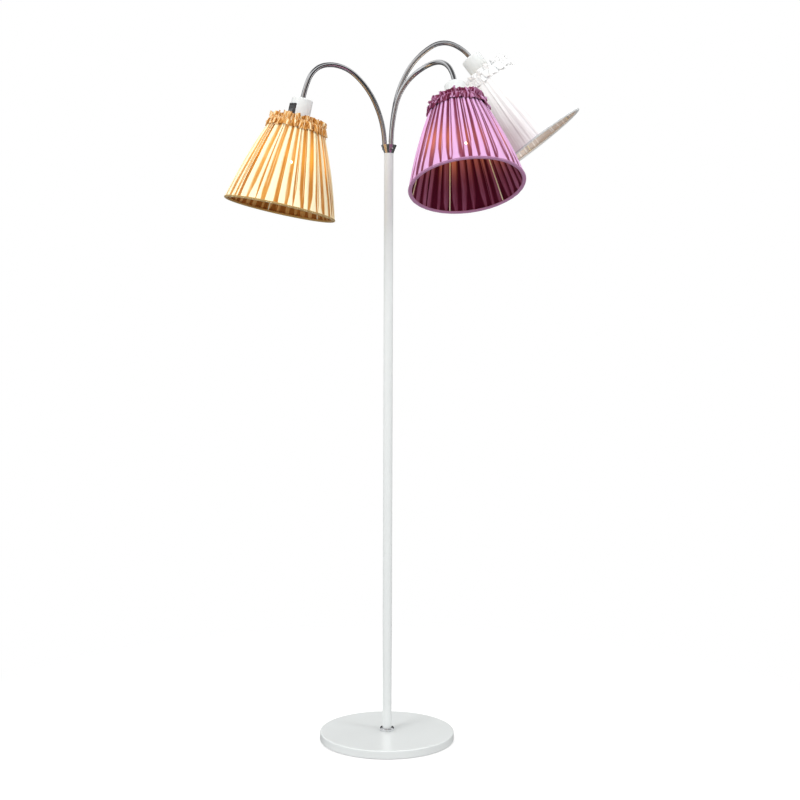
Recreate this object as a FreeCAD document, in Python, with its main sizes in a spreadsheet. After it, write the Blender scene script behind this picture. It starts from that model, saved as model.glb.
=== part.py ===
import FreeCAD, Part
import math
import os
import re
import Sketcher

# Floor lamp with a round weighted base, a sectional pole and three goosenecks that leave a
# small chrome cup. Each gooseneck carries a socket with a rocker switch, a bulb and a
# cone-shaped shade of gathered satin over a wire frame, with a ruffle at its top.
# Millimetres. Origin: centre of the base on the floor, +Z up, the front towards -Y.

doc = FreeCAD.newDocument("tree_lamp")
sheet = doc.addObject("Spreadsheet::Sheet", "Sizes")

SIZES = [
    # base
    ("baseRadius", 140.0), ("baseHeight", 16.9), ("coverWall", 1.5), ("coverEdgeRound", 2.6),
    ("coverLift", 0.8), ("padInset", 8.0), ("padHeight", 2.0), ("weightGap", 0.5),
    ("nutPocketRadius", 15.0), ("nutPocketDepth", 9.0), ("channelWidth", 10.0),
    ("washerRadius", 12.0), ("washerHeight", 1.6), ("nutRadius", 9.8), ("nutHeight", 5.5),
    ("studRadius", 5.0), ("studBore", 3.5), ("studDrop", 1.5), ("plugHeight", 32.0),
    ("collarRadius", 15.0), ("collarHeight", 6.5), ("collarRound", 2.4),
    ("glandRadius", 4.4), ("glandFlangeRadius", 6.4), ("glandFlange", 2.0),
    ("glandBore", 3.2), ("glandDepth", 6.0), ("glandLevel", 8.8),
    # pole
    ("poleRadius", 9.5), ("poleWall", 1.25), ("sectionLength", 373.66), ("topLength", 82.3),
    ("seamChamfer", 0.45), ("couplerLength", 44.0), ("couplerBore", 5.5),
    # cup that holds the necks
    ("cupRimRadius", 16.1), ("cupHeight", 16.6), ("cupRecess", 1.0), ("cupLip", 1.2),
    ("cupSpigot", 12.0), ("seatCircle", 8.8), ("seatDepth", 9.0), ("seatGap", 0.3),
    # goosenecks: one length for all three, in five tangent arcs
    ("neckRadius", 5.0), ("neckStart", 4.0), ("arcOne", 80.0), ("arcTwo", 80.0),
    ("arcThree", 75.0), ("arcFour", 53.0), ("arcFive", 38.0), ("neckTail", 9.0),
    ("knuckleBall", 3.4), ("knuckleGap", 0.3), ("reliefAngle", 42.0),
    ("goldAzimuth", 208.3), ("goldBendOne", 24.2), ("goldBendTwo", 30.4),
    ("goldBendThree", 50.7), ("goldBendFour", 55.4), ("goldBendFive", 9.9),
    ("goldTwistTwo", 2.8), ("goldTwistThree", 2.0), ("goldTwistFour", -10.3),
    ("goldTwistFive", -1.0), ("goldSwitchTurn", 84.0), ("goldFrameTurn", 17.0),
    ("purpleAzimuth", -10.8), ("purpleBendOne", 12.4), ("purpleBendTwo", 40.3),
    ("purpleBendThree", 68.9), ("purpleBendFour", 26.8), ("purpleBendFive", 26.8),
    ("purpleTwistTwo", -6.9), ("purpleTwistThree", -44.0), ("purpleTwistFour", 19.1),
    ("purpleTwistFive", 20.6), ("purpleSwitchTurn", -69.0), ("purpleFrameTurn", 34.0),
    ("whiteAzimuth", -2.8), ("whiteBendOne", 9.2), ("whiteBendTwo", 20.0),
    ("whiteBendThree", 29.0), ("whiteBendFour", 56.5), ("whiteBendFive", 29.3),
    ("whiteTwistTwo", 1.4), ("whiteTwistThree", 7.7), ("whiteTwistFour", 2.1),
    ("whiteTwistFive", -18.6), ("whiteSwitchTurn", 18.0), ("whiteFrameTurn", 20.0),
    # socket: cover, lamp holder and ring nut, measured down from the cover's top
    ("socketRadius", 21.0), ("socketHeight", 62.0), ("socketWall", 1.8), ("socketRound", 2.6),
    ("holderRadius", 18.0), ("holderClear", 4.0), ("holderFlange", 3.0), ("skirtRadius", 19.0),
    ("skirtLength", 15.5), ("mouthRadius", 13.6), ("mouthRise", 7.0),
    ("fitGap", 0.05), ("ringNutRadius", 24.5), ("ringNutHeight", 9.0), ("ringNutRib", 1.2),
    # rocker switch in the socket's side
    ("switchTop", 14.0), ("switchHeight", 24.0), ("switchWidth", 19.0), ("switchDepth", 12.0),
    ("switchProud", 1.2), ("switchFloor", 1.2), ("pocketHeight", 18.4), ("pocketWidth", 13.6),
    ("rockerHeight", 15.2), ("rockerWidth", 12.8), ("rockerPivotDepth", 6.2),
    ("rockerRise", 1.0), ("rockerBelow", 1.5), ("rockerPin", 1.2), ("rockerPinLength", 16.6),
    ("rockerTilt", 7.0),
    # bulb: its levels are measured down from the socket's lower edge
    ("bulbRadius", 30.0), ("bulbDrop", 66.0), ("bulbNeckRadius", 13.2),
    ("shoulderDrop", 46.0), ("bulbWall", 1.0), ("capRadius", 13.3), ("capHeight", 25.7),
    ("capGap", 0.3),
    # shade frame: its bottom ring is measured down from the socket's lower edge
    ("wireRadius", 1.5), ("strutRadius", 1.1), ("frameDrop", 160.0),
    ("fitterRadius", 26.0), ("fitterThick", 1.5),
    # satin cover and ruffle: rises and drops are measured from the socket's lower edge
    ("shadeRise", 3.0), ("shadeDrop", 162.0), ("shadeRimRadius", 112.6),
    ("shadeTopRadius", 56.4), ("shadeBulge", 3.6), ("pleatDepthTop", 2.2),
    ("pleatDepthRim", 1.1), ("pleatCount", 34), ("clothThick", 0.8), ("clothGap", 0.3),
    ("ruffleRise", 22.0), ("waistRise", 12.0), ("puffRise", 4.0), ("ruffleDrop", 3.5),
    ("ruffleTopRadius", 52.6), ("ruffleWaistRadius", 50.6), ("rufflePuffRadius", 60.2),
    ("ruffleThick", 1.6), ("ruffleLobe", 1.7), ("ruffleCount", 26),
]

sheet.set("A1", "size")
sheet.set("B1", "value, mm or degrees")
for row, (alias, value) in enumerate(SIZES, start=2):
    sheet.set("A%d" % row, alias)
    sheet.set("B%d" % row, str(value))
    sheet.setAlias("B%d" % row, alias)
doc.recompute()

ORIGIN = FreeCAD.Vector(0, 0, 0)
AXIS_X = FreeCAD.Vector(1, 0, 0)
AXIS_Y = FreeCAD.Vector(0, 1, 0)
AXIS_Z = FreeCAD.Vector(0, 0, 1)
nodes = []


def mm(alias):
    """The plain number in one cell of the sheet."""
    return float(sheet.get(alias))


def cells(text):
    """An expression in which each size's name points at its cell."""
    return re.sub(r"\b([a-z]+[A-Z]\w*)", r"Sizes.\1", text)


def place(offset=ORIGIN, axis=AXIS_Z, angle=0.0):
    return FreeCAD.Placement(offset, FreeCAD.Rotation(axis, angle))


def shift(x=0.0, y=0.0, z=0.0):
    return place(FreeCAD.Vector(x, y, z))


def keep(label, piece, placement=None):
    """Name a finished sub-part and move it to its seat."""
    piece.Label = label
    if placement is not None:
        piece.Placement = placement
    nodes.append(piece)
    return piece


def solid(kind, name, sizes, placement=None, level=None):
    """A primitive whose sizes are bound to the sheet."""
    piece = doc.addObject(kind, name)
    if placement is not None:
        piece.Placement = placement
    for setting, text in sizes.items():
        piece.setExpression(setting, cells(text))
    if level is not None:
        piece.setExpression("Placement.Base.z", cells(level))
    return piece


def cut(name, base, *tools):
    """The base with one or more tools taken away."""
    result = doc.addObject("Part::Cut", name)
    result.Base = base
    result.Tool = tools[0] if len(tools) == 1 else fuse(name + "_tools", *tools)
    return result


def fuse(name, *pieces):
    result = doc.addObject("Part::MultiFuse", name)
    result.Shapes = list(pieces)
    return result


def tube(name, outer, inner, height, level="0"):
    """A plain ring or tube standing on the given level."""
    outside = solid("Part::Cylinder", name + "_outside", {"Radius": outer, "Height": height}, level=level)
    inside = solid("Part::Cylinder", name + "_inside",
                   {"Radius": inner, "Height": "(%s) + 2 * clothThick" % height},
                   level="(%s) - clothThick" % level)
    return cut(name, outside, inside)


def plane(body, role):
    for feature in body.Origin.OriginFeatures:
        if feature.Role == role:
            return feature


def outline(body, name, role, corners):
    """A closed polygon sketch; each corner is held by two distances bound to the sheet."""
    sketch = body.newObject("Sketcher::SketchObject", name)
    sketch.AttachmentSupport = [(plane(body, role), "")]
    sketch.MapMode = "FlatFace"
    count = len(corners)
    for i in range(count):
        here = FreeCAD.Vector(10 + 5 * i, 10 + 3 * i, 0)
        there = FreeCAD.Vector(15 + 5 * i, 13 + 3 * i, 0)
        sketch.addGeometry(Part.LineSegment(here, there), False)
    for i in range(count):
        sketch.addConstraint(Sketcher.Constraint("Coincident", i, 2, (i + 1) % count, 1))
    for i, (across, up) in enumerate(corners):
        for kind, text in (("DistanceX", across), ("DistanceY", up)):
            if text == "0":
                target = (i, 1, -2) if kind == "DistanceX" else (i, 1, -1)
                sketch.addConstraint(Sketcher.Constraint("PointOnObject", *target))
                continue
            number = sketch.addConstraint(Sketcher.Constraint(kind, -1, 1, i, 1, 10.0))
            sketch.setExpression("Constraints[%d]" % number, cells(text))
    return sketch


def turned(name, corners, rounds=()):
    """A turned piece: a profile of radius and height revolved about Z, with rounded edges."""
    body = doc.addObject("PartDesign::Body", name)
    sketch = outline(body, name + "_profile", "XZ_Plane", corners)
    revolution = body.newObject("PartDesign::Revolution", name + "_turned")
    revolution.Profile = sketch
    revolution.ReferenceAxis = (sketch, ["V_Axis"])
    revolution.Angle = 360.0
    last = revolution
    for number, (radius_text, level, size_text) in enumerate(rounds):
        doc.recompute()
        picked = edge_names(last.Shape, radius_text, level)
        rounding = body.newObject("PartDesign::Fillet", "%s_round%d" % (name, number))
        rounding.Base = (last, picked)
        rounding.setExpression("Radius", cells(size_text))
        last = rounding
    body.Tip = last
    return body


def edge_names(shape, radius, level):
    """Names of the circular edges of one radius at one level."""
    found = []
    for number, edge in enumerate(shape.Edges, start=1):
        if not isinstance(edge.Curve, Part.Circle):
            continue
        if abs(edge.Curve.Radius - radius) < 0.01 and abs(edge.Curve.Center.z - level) < 0.01:
            found.append("Edge%d" % number)
    return found


# ---------------------------------------------------------------- base
# Pressed white cover with a rounded edge over a cast disc, on a thin pad. The pole's foot
# screws on a hollow stud that a nut holds from below. A grommet at the back is the
# supply lead's way in, and a channel under the disc leads from it to the stud.

cover_shell = turned("base_cover_shell", [
    ("studRadius + fitGap", "baseHeight - coverWall"),
    ("baseRadius - coverWall", "baseHeight - coverWall"),
    ("baseRadius - coverWall", "coverLift"),
    ("baseRadius", "coverLift"),
    ("baseRadius", "baseHeight"),
    ("studRadius + fitGap", "baseHeight"),
], rounds=[(mm("baseRadius"), mm("baseHeight"), "coverEdgeRound")])
gland_hole = solid("Part::Cylinder", "gland_hole",
                   {"Radius": "glandRadius + fitGap", "Height": "2 * glandDepth",
                    "Placement.Base.y": "baseRadius - glandDepth"},
                   place(ORIGIN, AXIS_X, -90), level="glandLevel")
keep("base_cover", cut("base_cover", cover_shell, gland_hole))

weight_disc = solid("Part::Cylinder", "weight_disc",
                    {"Radius": "baseRadius - coverWall - weightGap",
                     "Height": "baseHeight - coverWall - padHeight"}, level="padHeight")
weight_bore = solid("Part::Cylinder", "weight_bore",
                    {"Radius": "studRadius + fitGap", "Height": "2 * baseHeight"})
nut_pocket = solid("Part::Cylinder", "nut_pocket",
                   {"Radius": "nutPocketRadius", "Height": "padHeight + nutPocketDepth"})
lead_channel = solid("Part::Box", "lead_channel",
                     {"Width": "baseRadius", "Length": "channelWidth",
                      "Height": "glandLevel + channelWidth / 2",
                      "Placement.Base.x": "-channelWidth / 2"})
keep("base_weight", cut("base_weight", weight_disc, weight_bore, nut_pocket, lead_channel))

keep("base_pad", solid("Part::Cylinder", "base_pad", {"Radius": "baseRadius - padInset", "Height": "padHeight"}))

keep("base_stud", turned("base_stud", [
    ("studBore", "padHeight + studDrop"),
    ("studRadius", "padHeight + studDrop"),
    ("studRadius", "baseHeight"),
    ("poleRadius - poleWall - fitGap", "baseHeight"),
    ("poleRadius - poleWall - fitGap", "baseHeight + plugHeight"),
    ("studBore", "baseHeight + plugHeight"),
]))
keep("base_washer", tube("base_washer", "washerRadius", "studRadius + fitGap", "washerHeight",
                         "padHeight + nutPocketDepth - washerHeight"))
nut_block = solid("Part::Prism", "nut_block", {"Circumradius": "nutRadius", "Height": "nutHeight"},
                  level="padHeight + nutPocketDepth - washerHeight - nutHeight")
nut_hole = solid("Part::Cylinder", "nut_hole",
                 {"Radius": "studRadius + fitGap", "Height": "2 * baseHeight"})
keep("base_nut", cut("base_nut", nut_block, nut_hole))

keep("base_collar", turned("base_collar", [
    ("poleRadius + fitGap", "baseHeight"),
    ("collarRadius", "baseHeight"),
    ("collarRadius", "baseHeight + collarHeight"),
    ("poleRadius + fitGap", "baseHeight + collarHeight"),
], rounds=[(mm("collarRadius"), mm("baseHeight") + mm("collarHeight"), "collarRound")]))

gland = turned("cord_gland", [
    ("glandBore", "0"),
    ("glandRadius", "0"),
    ("glandRadius", "glandDepth"),
    ("glandFlangeRadius", "glandDepth"),
    ("glandFlangeRadius", "glandDepth + glandFlange"),
    ("glandBore", "glandDepth + glandFlange"),
])
keep("cord_gland", gland, place(
    FreeCAD.Vector(0, mm("baseRadius") - mm("glandDepth"), mm("glandLevel")), AXIS_X, -90))

# ---------------------------------------------------------------- pole
# Three equal tubes and a short one, butted on threaded sleeves; a fine chamfer marks each seam.


def pole_tube(label, length):
    return turned(label, [
        ("poleRadius - poleWall", "0"),
        ("poleRadius - seamChamfer", "0"),
        ("poleRadius", "seamChamfer"),
        ("poleRadius", "%s - seamChamfer" % length),
        ("poleRadius - seamChamfer", length),
        ("poleRadius - poleWall", length),
    ])


for number in range(3):
    foot = mm("baseHeight") + number * mm("sectionLength")
    keep("pole_section_%d" % (number + 1), pole_tube("pole_section_%d" % (number + 1), "sectionLength"),
         shift(z=foot))
    keep("pole_coupler_%d" % (number + 1),
         tube("pole_coupler_%d" % (number + 1), "poleRadius - poleWall - fitGap", "couplerBore",
              "couplerLength"),
         shift(z=foot + mm("sectionLength") - mm("couplerLength") / 2))
cup_foot = mm("baseHeight") + 3 * mm("sectionLength") + mm("topLength")
keep("pole_top", pole_tube("pole_top", "topLength"), shift(z=cup_foot - mm("topLength")))

# ---------------------------------------------------------------- cup
# A turned chrome cone with a spigot in the pole's top and three round seats for the necks.

cup_rim = cup_foot + mm("cupHeight")
cup_block = turned("cup_block", [
    ("couplerBore", "0"),
    ("poleRadius - poleWall - fitGap", "0"),
    ("poleRadius - poleWall - fitGap", "cupSpigot"),
    ("poleRadius", "cupSpigot"),
    ("cupRimRadius", "cupSpigot + cupHeight"),
    ("cupRimRadius - cupLip", "cupSpigot + cupHeight"),
    ("cupRimRadius - cupLip", "cupSpigot + cupHeight - cupRecess"),
    ("0", "cupSpigot + cupHeight - cupRecess"),
    ("0", "cupSpigot + cupRecess"),
    ("couplerBore", "cupSpigot"),
])
ARMS = (("gold", 180.0), ("purple", -60.0), ("white", 60.0))
seats = []
for arm, side in ARMS:
    direction = FreeCAD.Rotation(AXIS_Z, side).multVec(AXIS_X)
    hole = solid("Part::Cylinder", "seat_" + arm,
                 {"Radius": "neckRadius + seatGap", "Height": "seatDepth + cupRecess",
                  "Placement.Base.x": "seatCircle * %.9f" % direction.x,
                  "Placement.Base.y": "seatCircle * %.9f" % direction.y},
                 level="cupSpigot + cupHeight - cupRecess - seatDepth")
    seats.append(hole)
keep("neck_cup", cut("neck_cup", cup_block, *seats), shift(z=cup_foot - mm("cupSpigot")))

# ---------------------------------------------------------------- goosenecks
# A neck is a chain of tangent arcs. A frame walks along it: its Z axis is the neck's
# direction and its X axis the axis of the next bend. The neck is cut in three lengths at
# two knuckles, where a small ball sits in a cup and both ends are coned off so that the
# lengths can bend on each other.

RELIEF = mm("neckRadius") * math.tan(math.radians(mm("reliefAngle") / 2))
INNER_SIDE = place(ORIGIN, AXIS_Z, -90)


def arc_step(radius, angle):
    """Move along an arc of the given radius about the frame's X axis."""
    turn = place(ORIGIN, AXIS_X, angle)
    return shift(y=-radius) * turn * shift(y=radius)


def arc_piece(name, arm, order, frame, before=0.0, after=0.0):
    """One arc of tube between two straight ends of the given lengths; returns it and its end."""
    bend = arm + "Bend" + order
    radius = math.degrees((mm("arc" + order) - before - after) / mm(bend))
    piece = doc.addObject("Part::Torus", name)
    piece.setExpression("Radius1", cells("(arc%s - %.9f) * 180 / (pi * %s)" % (order, before + after, bend)))
    piece.setExpression("Radius2", cells("neckRadius"))
    piece.setExpression("Angle3", cells(bend))
    axes = FreeCAD.Placement(FreeCAD.Vector(0, -radius, 0), FreeCAD.Rotation(FreeCAD.Vector(1, 1, 1), 120))
    piece.Placement = frame * shift(z=before) * axes
    return piece, frame * shift(z=before) * arc_step(radius, mm(bend)) * shift(z=after)


def twist(frame, arm, order):
    return frame * place(ORIGIN, AXIS_Z, mm(arm + "Twist" + order))


def knuckle_nose(name, frame):
    """The coned end and the ball of the length below a knuckle."""
    cone = doc.addObject("Part::Cone", name + "_cone")
    cone.setExpression("Radius1", cells("neckRadius"))
    cone.setExpression("Radius2", cells("neckRadius / 2"))
    cone.setExpression("Height", cells("neckRadius * tan(reliefAngle / 2) / 2"))
    cone.Placement = frame * shift(z=-RELIEF) * INNER_SIDE
    ball = doc.addObject("Part::Sphere", name + "_ball")
    ball.setExpression("Radius", cells("knuckleBall"))
    ball.Placement = frame * INNER_SIDE
    return [cone, ball]


def knuckle_socket(name, frame):
    """The coned end of the length above a knuckle, and the ball's room in it."""
    cone = doc.addObject("Part::Cone", name + "_cone")
    cone.setExpression("Radius1", cells("neckRadius / 2"))
    cone.setExpression("Radius2", cells("neckRadius"))
    cone.setExpression("Height", cells("neckRadius * tan(reliefAngle / 2) / 2"))
    cone.Placement = frame * shift(z=mm("knuckleGap") + RELIEF / 2) * INNER_SIDE
    room = doc.addObject("Part::Sphere", name + "_room")
    room.setExpression("Radius", cells("knuckleBall + knuckleGap"))
    room.Placement = frame * place(ORIGIN, AXIS_X, 90)
    return cone, room


def neck(arm, side):
    """The three lengths of one neck, built from the origin and moved to the seat in the cup;
    returns the frames of its joints and of its end."""
    seat = place(ORIGIN, AXIS_Z, side).multVec(FreeCAD.Vector(mm("seatCircle"), 0, 0))
    seat = place(seat + FreeCAD.Vector(0, 0, cup_rim - mm("neckStart")), AXIS_Z, mm(arm + "Azimuth") + 90.0)
    start = place()
    root_length = mm("cupRecess") + mm("seatDepth") - mm("seatGap") - mm("neckStart")
    root = doc.addObject("Part::Cylinder", "neck_root_" + arm)
    root.setExpression("Radius", cells("neckRadius"))
    root.setExpression("Height", cells("cupRecess + seatDepth - seatGap - neckStart"))
    root.Placement = start * shift(z=-root_length) * INNER_SIDE
    above = RELIEF + mm("knuckleGap")

    arc_one, first = arc_piece("neck_arc1_" + arm, arm, "One", start, after=RELIEF)
    keep("neck_lower_" + arm, fuse("neck_lower_" + arm, root, arc_one,
                                   *knuckle_nose("nose1_" + arm, first)), seat)

    first = twist(first, arm, "Two")
    cone, room = knuckle_socket("socket1_" + arm, first)
    arc_two, frame = arc_piece("neck_arc2_" + arm, arm, "Two", first, before=above)
    frame = twist(frame, arm, "Three")
    arc_three, frame = arc_piece("neck_arc3_" + arm, arm, "Three", frame)
    frame = twist(frame, arm, "Four")
    arc_four, second = arc_piece("neck_arc4_" + arm, arm, "Four", frame, after=RELIEF)
    middle = fuse("neck_run_" + arm, cone, arc_two, arc_three, arc_four,
                  *knuckle_nose("nose2_" + arm, second))
    keep("neck_middle_" + arm, cut("neck_middle_" + arm, middle, room), seat)

    second = twist(second, arm, "Five")
    cone, room = knuckle_socket("socket2_" + arm, second)
    arc_five, end = arc_piece("neck_arc5_" + arm, arm, "Five", second, before=above)
    tail = doc.addObject("Part::Cylinder", "neck_tail_" + arm)
    tail.setExpression("Radius", cells("neckRadius"))
    tail.setExpression("Height", cells("neckTail"))
    tail.Placement = end * INNER_SIDE
    keep("neck_end_" + arm, cut("neck_end_" + arm, fuse("neck_tip_" + arm, cone, arc_five, tail), room), seat)
    return seat, seat * first, seat * second, seat * end


# ---------------------------------------------------------------- heads
# Everything below is drawn in the head's own frame: origin at the middle of the socket
# cover's top, Z along the head's axis towards the shade's opening.


def head_socket(arm, head):
    """Cover, lamp holder and ring nut."""
    shell = turned("cover_shell_" + arm, [
        ("neckRadius + fitGap", "0"),
        ("socketRadius", "0"),
        ("socketRadius", "socketHeight"),
        ("socketRadius - socketWall", "socketHeight"),
        ("socketRadius - socketWall", "socketWall"),
        ("neckRadius + fitGap", "socketWall"),
    ], rounds=[(mm("socketRadius"), 0.0, "socketRound")])
    window = solid("Part::Box", "window_" + arm,
                   {"Length": "2 * switchDepth", "Width": "switchWidth + 2 * fitGap",
                    "Height": "switchHeight + 2 * fitGap"})
    across = mm("switchWidth") / 2 + mm("fitGap")
    window.Placement = place(ORIGIN, AXIS_Z, mm(arm + "SwitchTurn")) * shift(
        mm("socketRadius") - mm("switchDepth") + mm("switchProud"), -across,
        mm("switchTop") - mm("fitGap"))
    keep("socket_cover_" + arm, cut("socket_cover_" + arm, shell, window), head)
    keep("lampholder_" + arm, turned("lampholder_" + arm, [
        ("0", "switchTop + switchHeight + holderClear"),
        ("holderRadius", "switchTop + switchHeight + holderClear"),
        ("holderRadius", "socketHeight"),
        ("socketRadius", "socketHeight"),
        ("socketRadius", "socketHeight + holderFlange"),
        ("skirtRadius", "socketHeight + holderFlange"),
        ("skirtRadius", "socketHeight + holderFlange + skirtLength"),
        ("mouthRadius", "socketHeight + holderFlange + skirtLength"),
        ("mouthRadius", "socketHeight - mouthRise"),
        ("0", "socketHeight - mouthRise"),
    ]), head)
    keep("shade_ring_" + arm, turned("shade_ring_" + arm, [
        ("skirtRadius + fitGap", "socketHeight + holderFlange + fitterThick + 2 * fitGap"),
        ("ringNutRadius", "socketHeight + holderFlange + fitterThick + 2 * fitGap"),
        ("ringNutRadius", "socketHeight + holderFlange + fitterThick + ringNutRib"),
        ("ringNutRadius - ringNutRib", "socketHeight + holderFlange + fitterThick + ringNutHeight"),
        ("skirtRadius + fitGap", "socketHeight + holderFlange + fitterThick + ringNutHeight"),
    ]), head)


def head_switch(arm, head):
    """Dark frame let into the cover's side, and the rocker that tips on two pins in it."""
    turn = head * place(ORIGIN, AXIS_Z, mm(arm + "SwitchTurn"))
    back = mm("socketRadius") + mm("switchProud") - mm("switchDepth")
    middle = mm("switchTop") + mm("switchHeight") / 2
    block = solid("Part::Box", "switch_block_" + arm,
                  {"Length": "switchDepth", "Width": "switchWidth", "Height": "switchHeight",
                   "Placement.Base.x": "socketRadius + switchProud - switchDepth",
                   "Placement.Base.y": "-switchWidth / 2"}, level="switchTop")
    pocket = solid("Part::Box", "switch_pocket_" + arm,
                   {"Length": "switchDepth", "Width": "pocketWidth", "Height": "pocketHeight",
                    "Placement.Base.x": "socketRadius + switchProud - switchDepth + switchFloor",
                    "Placement.Base.y": "-pocketWidth / 2"},
                   level="switchTop + switchHeight / 2 - pocketHeight / 2")
    pivot_x = mm("socketRadius") + mm("switchProud") - mm("rockerPivotDepth")
    pivot = FreeCAD.Vector(pivot_x, 0, middle)
    bore = doc.addObject("Part::Cylinder", "pivot_bore_" + arm)
    bore.setExpression("Radius", cells("rockerPin + fitGap"))
    bore.setExpression("Height", cells("rockerPinLength + 4 * fitGap"))
    bore.Placement = place(pivot, AXIS_X, 90) * shift(z=-mm("rockerPinLength") / 2 - 2 * mm("fitGap"))
    keep("switch_frame_" + arm, cut("switch_frame_" + arm, block, pocket, bore), turn)

    body = doc.addObject("PartDesign::Body", "paddle_" + arm)
    face = "socketRadius + switchProud"
    sketch = outline(body, "paddle_profile_" + arm, "XZ_Plane", [
        (face + " - rockerPivotDepth - rockerBelow", "switchTop + switchHeight / 2 - rockerHeight / 2"),
        (face + " - rockerPivotDepth - rockerBelow", "switchTop + switchHeight / 2 + rockerHeight / 2"),
        (face + " + rockerRise", "switchTop + switchHeight / 2 + rockerHeight / 2"),
        (face, "switchTop + switchHeight / 2"),
        (face + " + rockerRise", "switchTop + switchHeight / 2 - rockerHeight / 2"),
    ])
    pad = body.newObject("PartDesign::Pad", "paddle_pad_" + arm)
    pad.Profile = sketch
    pad.setExpression("Length", cells("rockerWidth"))
    pad.Midplane = True
    body.Tip = pad
    pin = doc.addObject("Part::Cylinder", "rocker_pin_" + arm)
    pin.setExpression("Radius", cells("rockerPin"))
    pin.setExpression("Height", cells("rockerPinLength"))
    pin.Placement = place(pivot, AXIS_X, 90) * shift(z=-mm("rockerPinLength") / 2)
    tip = place(pivot, AXIS_Y, mm("rockerTilt")) * place(-pivot)
    keep("switch_rocker_" + arm, fuse("switch_rocker_" + arm, body, pin), turn * tip)
    return turn * place(pivot)


def head_bulb(arm, head):
    """Pear-shaped bulb: a screw cap in the holder's mouth and a glass envelope."""
    keep("bulb_cap_" + arm, solid("Part::Cylinder", "bulb_cap_" + arm,
                                  {"Radius": "capRadius", "Height": "capHeight"}),
         head * shift(z=mm("socketHeight") - mm("mouthRise") + mm("capGap")))
    forms = []
    for name, less in (("outside_", "0"), ("inside_", "bulbWall")):
        globe = solid("Part::Sphere", name + "globe_" + arm, {"Radius": "bulbRadius - " + less},
                      level="socketHeight + bulbDrop")
        shoulder = solid("Part::Cone", name + "shoulder_" + arm,
                         {"Radius1": "bulbNeckRadius - " + less,
                          "Radius2": "sqrt((bulbRadius - %s) ^ 2 - (bulbDrop - shoulderDrop) ^ 2)" % less,
                          "Height": "shoulderDrop + mouthRise - capGap - capHeight"},
                         level="socketHeight - mouthRise + capGap + capHeight")
        forms.append(fuse(name + arm, globe, shoulder))
    keep("bulb_glass_" + arm, cut("bulb_glass_" + arm, *forms), head)


def rod(radius, start, finish):
    """A straight wire from one point to another."""
    along = finish - start
    return Part.makeCylinder(radius, along.Length, start, along)


def rim_point(radius, drop, angle):
    return FreeCAD.Rotation(AXIS_Z, angle).multVec(FreeCAD.Vector(radius, 0, drop))


TOP_RING = mm("socketHeight")
LOW_RING = mm("socketHeight") + mm("frameDrop")
SHADE_TOP = mm("socketHeight") - mm("shadeRise")
SHADE_RIM = mm("socketHeight") + mm("shadeDrop")
RUFFLE_HEM = mm("socketHeight") + mm("ruffleDrop")


def head_frame(arm, head):
    """Wire frame: fitter ring, three spider arms, top ring, six struts and bottom ring."""
    fitter_level = mm("socketHeight") + mm("holderFlange") + mm("fitGap")
    middle = fitter_level + mm("fitterThick") / 2
    seat = mm("wireRadius") + mm("clothGap")
    top_ring = cloth_inside(TOP_RING) - seat
    low_ring = cloth_inside(LOW_RING) - seat
    fitter = Part.makeCylinder(mm("fitterRadius"), mm("fitterThick"), FreeCAD.Vector(0, 0, fitter_level))
    fitter = fitter.cut(Part.makeCylinder(mm("skirtRadius") + mm("fitGap"), 2 * mm("fitterThick"),
                                          FreeCAD.Vector(0, 0, fitter_level - mm("fitterThick") / 2)))
    wires = [hoop(top_ring, TOP_RING), hoop(low_ring, LOW_RING)]
    inset = mm("fitterRadius") - mm("fitterThick") / 2
    for number in range(3):
        angle = 30.0 + 120.0 * number
        wires.append(rod(mm("strutRadius"), rim_point(inset, middle, angle),
                         rim_point(top_ring, TOP_RING, angle)))
    for number in range(6):
        angle = 60.0 * number
        wires.append(rod(mm("strutRadius"), rim_point(top_ring, TOP_RING, angle),
                         rim_point(low_ring, LOW_RING, angle)))
    frame = doc.addObject("Part::Feature", "shade_frame_" + arm)
    frame.Shape = fitter.multiFuse(wires)
    keep("shade_frame_" + arm, frame, head * place(ORIGIN, AXIS_Z, mm(arm + "FrameTurn")))


def folded(count, valley, crest, drop, phase):
    """A closed zigzag of uneven folds: a valley and a crest for each."""
    step = 2 * math.pi / count
    corners = []
    for k in range(count):
        left = step * (k + 0.24 * math.sin(2.4 * k + phase))
        right = step * (k + 1 + 0.24 * math.sin(2.4 * ((k + 1) % count) + phase))
        top = valley + (crest - valley) * (0.72 + 0.28 * math.sin(1.7 * k + phase))
        for radius, angle in ((valley, left), (top, (left + right) / 2)):
            corners.append(FreeCAD.Vector(radius * math.cos(angle), radius * math.sin(angle), drop))
    corners.append(corners[0])
    return Part.makePolygon(corners)


def shade_radius(drop):
    """Crest radius of the satin cone at a distance below the socket's top: a line with a belly."""
    share = (drop - SHADE_TOP) / (SHADE_RIM - SHADE_TOP)
    line = mm("shadeTopRadius") + (mm("shadeRimRadius") - mm("shadeTopRadius")) * share
    return line + 4 * mm("shadeBulge") * share * (1 - share)


def pleat_depth(drop):
    share = (drop - SHADE_TOP) / (SHADE_RIM - SHADE_TOP)
    return mm("pleatDepthTop") + (mm("pleatDepthRim") - mm("pleatDepthTop")) * share


def cloth_inside(drop):
    """Radius that the cone's cloth leaves free at a level."""
    return shade_radius(drop) - pleat_depth(drop) - mm("clothThick")


def hoop(radius, drop):
    """A wire bent to a circle, six-sided in section."""
    corners = []
    for k in range(7):
        angle = math.radians(60.0 * k)
        corners.append(FreeCAD.Vector(radius + mm("wireRadius") * math.cos(angle), 0,
                                      drop + mm("wireRadius") * math.sin(angle)))
    ring = Part.Face(Part.makePolygon(corners)).revolve(ORIGIN, AXIS_Z, 360)
    ring.Placement = place(ORIGIN, AXIS_Z, 45)
    return ring


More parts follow.
